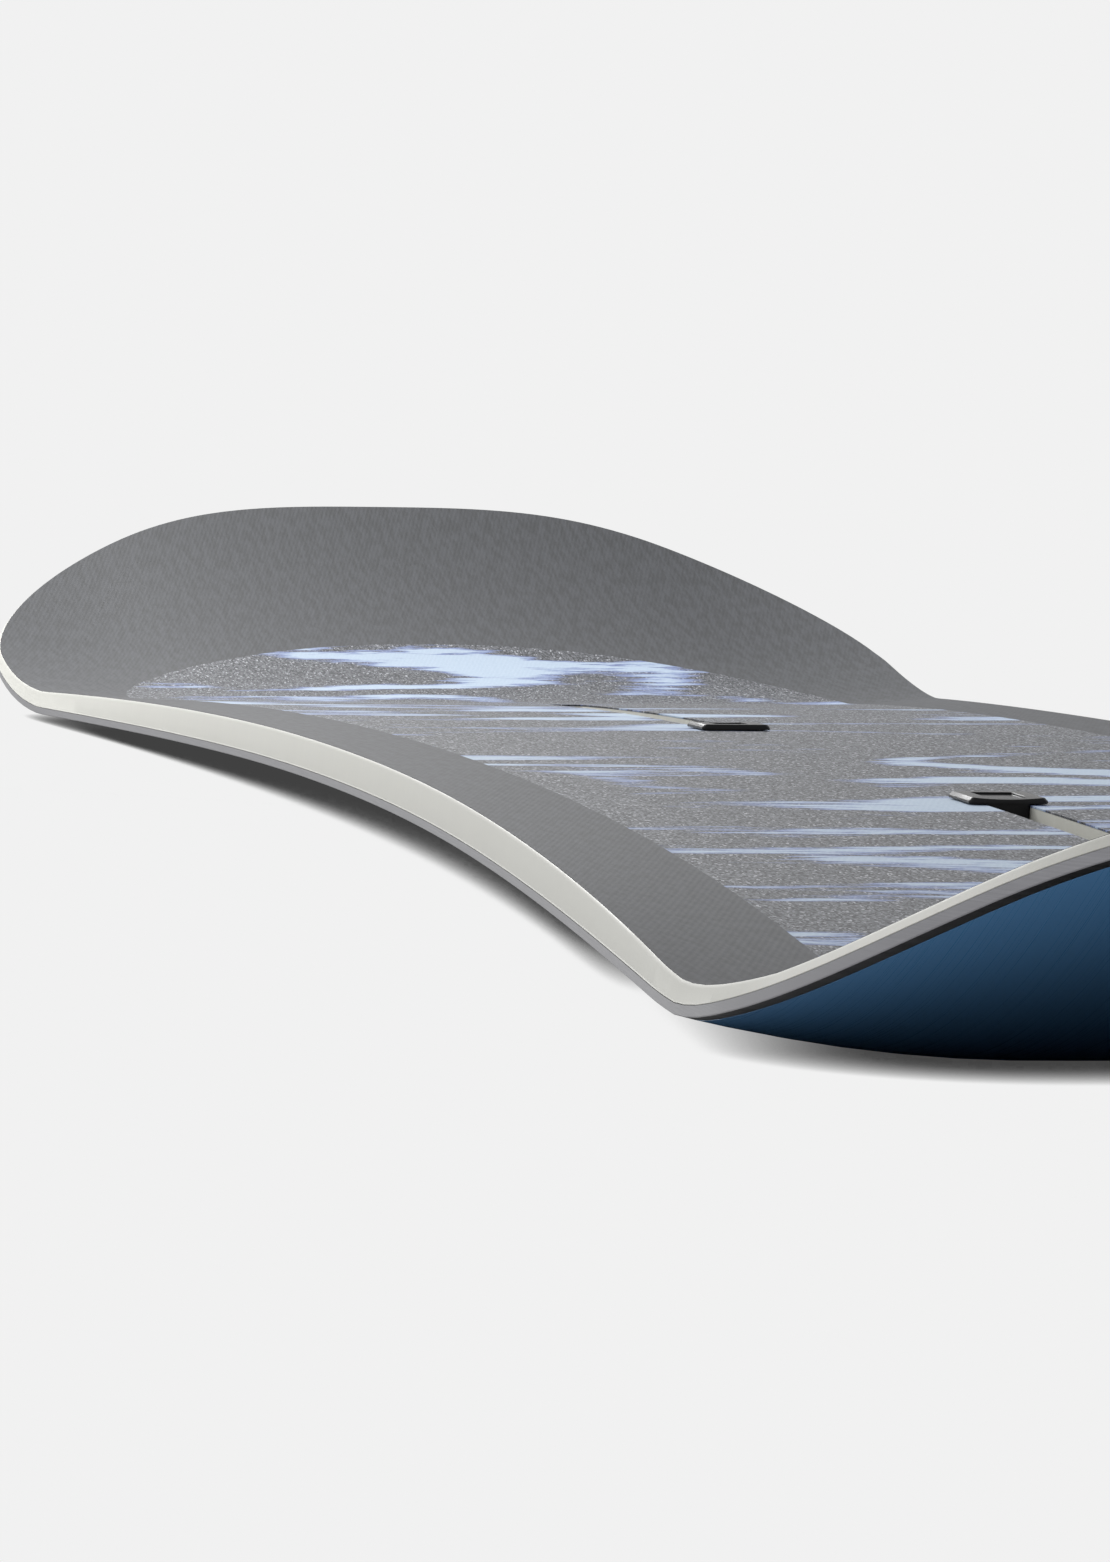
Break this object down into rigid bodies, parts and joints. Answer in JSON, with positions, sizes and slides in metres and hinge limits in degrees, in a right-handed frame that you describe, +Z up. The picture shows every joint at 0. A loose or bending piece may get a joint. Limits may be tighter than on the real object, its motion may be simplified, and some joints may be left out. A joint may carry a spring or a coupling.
{
  "type": "snowboard",
  "caption": "Cambered snowboard with slotted binding channels, full steel edges, sliding channel nuts and lift-out slot plugs.",
  "frame": {"origin": "middle of the bounding box, on the floor that the board stands on", "axes": "+X to the nose, +Y to the left edge, +Z up from the floor to the topsheet"},
  "size_m": [1.56, 0.3046, 0.0661],
  "materials": {
    "base_blue": "waxed, glossy",
    "edge_steel": "ground",
    "glass_cloth": "resin-bonded glass cloth, satin",
    "cream_plastic": "milled",
    "core_wood": "sanded",
    "core_light_wood": "sanded",
    "dark_topsheet": "satin",
    "black_plastic": "satin, moulded",
    "zinc_plated": "zinc plated"
  },
  "bodies": {
    "board": {"base_sheet": "base_blue", "edge_left": "edge_steel", "edge_right": "edge_steel", "edge_fill_ply": "glass_cloth", "lower_laminate": "glass_cloth", "upper_laminate": "glass_cloth", "sidewall_left": "cream_plastic", "sidewall_right": "cream_plastic", "nose_spacer": "cream_plastic", "tail_spacer": "cream_plastic", "channel_rail_nose": "cream_plastic", "channel_rail_tail": "cream_plastic", "core_left": "core_wood", "core_right": "core_wood", "core_centre_nose": "core_light_wood", "core_centre_middle": "core_light_wood", "core_centre_tail": "core_light_wood", "topsheet": "dark_topsheet"},
    "plug_nose": {"channel_plug_nose": "black_plastic"},
    "nut_nose_inner": {"channel_nut_nose_inner": "zinc_plated"},
    "nut_nose_outer": {"channel_nut_nose_outer": "zinc_plated"},
    "plug_tail": {"channel_plug_tail": "black_plastic"},
    "nut_tail_inner": {"channel_nut_tail_inner": "zinc_plated"},
    "nut_tail_outer": {"channel_nut_tail_outer": "zinc_plated"}
  },
  "joints": [
    {"name": "plug_nose_lift", "type": "slide", "parent": "board", "child": "plug_nose", "axis": [0.0116, 0, 0.9999], "range_m": [0, 0.03]},
    {"name": "nut_nose_inner_slide", "type": "slide", "parent": "board", "child": "nut_nose_inner", "axis": [0.9999, 0, -0.015], "range_m": [-0.0923, 0.016]},
    {"name": "nut_nose_outer_slide", "type": "slide", "parent": "board", "child": "nut_nose_outer", "axis": [0.9997, 0, -0.0235], "range_m": [-0.016, 0.0923]},
    {"name": "plug_tail_lift", "type": "slide", "parent": "board", "child": "plug_tail", "axis": [-0.0103, 0, 0.9999], "range_m": [0, 0.03]},
    {"name": "nut_tail_inner_slide", "type": "slide", "parent": "board", "child": "nut_tail_inner", "axis": [-0.9999, 0, -0.0136], "range_m": [-0.0923, 0.016]},
    {"name": "nut_tail_outer_slide", "type": "slide", "parent": "board", "child": "nut_tail_outer", "axis": [-0.9998, 0, -0.0207], "range_m": [-0.016, 0.0923]}
  ]
}
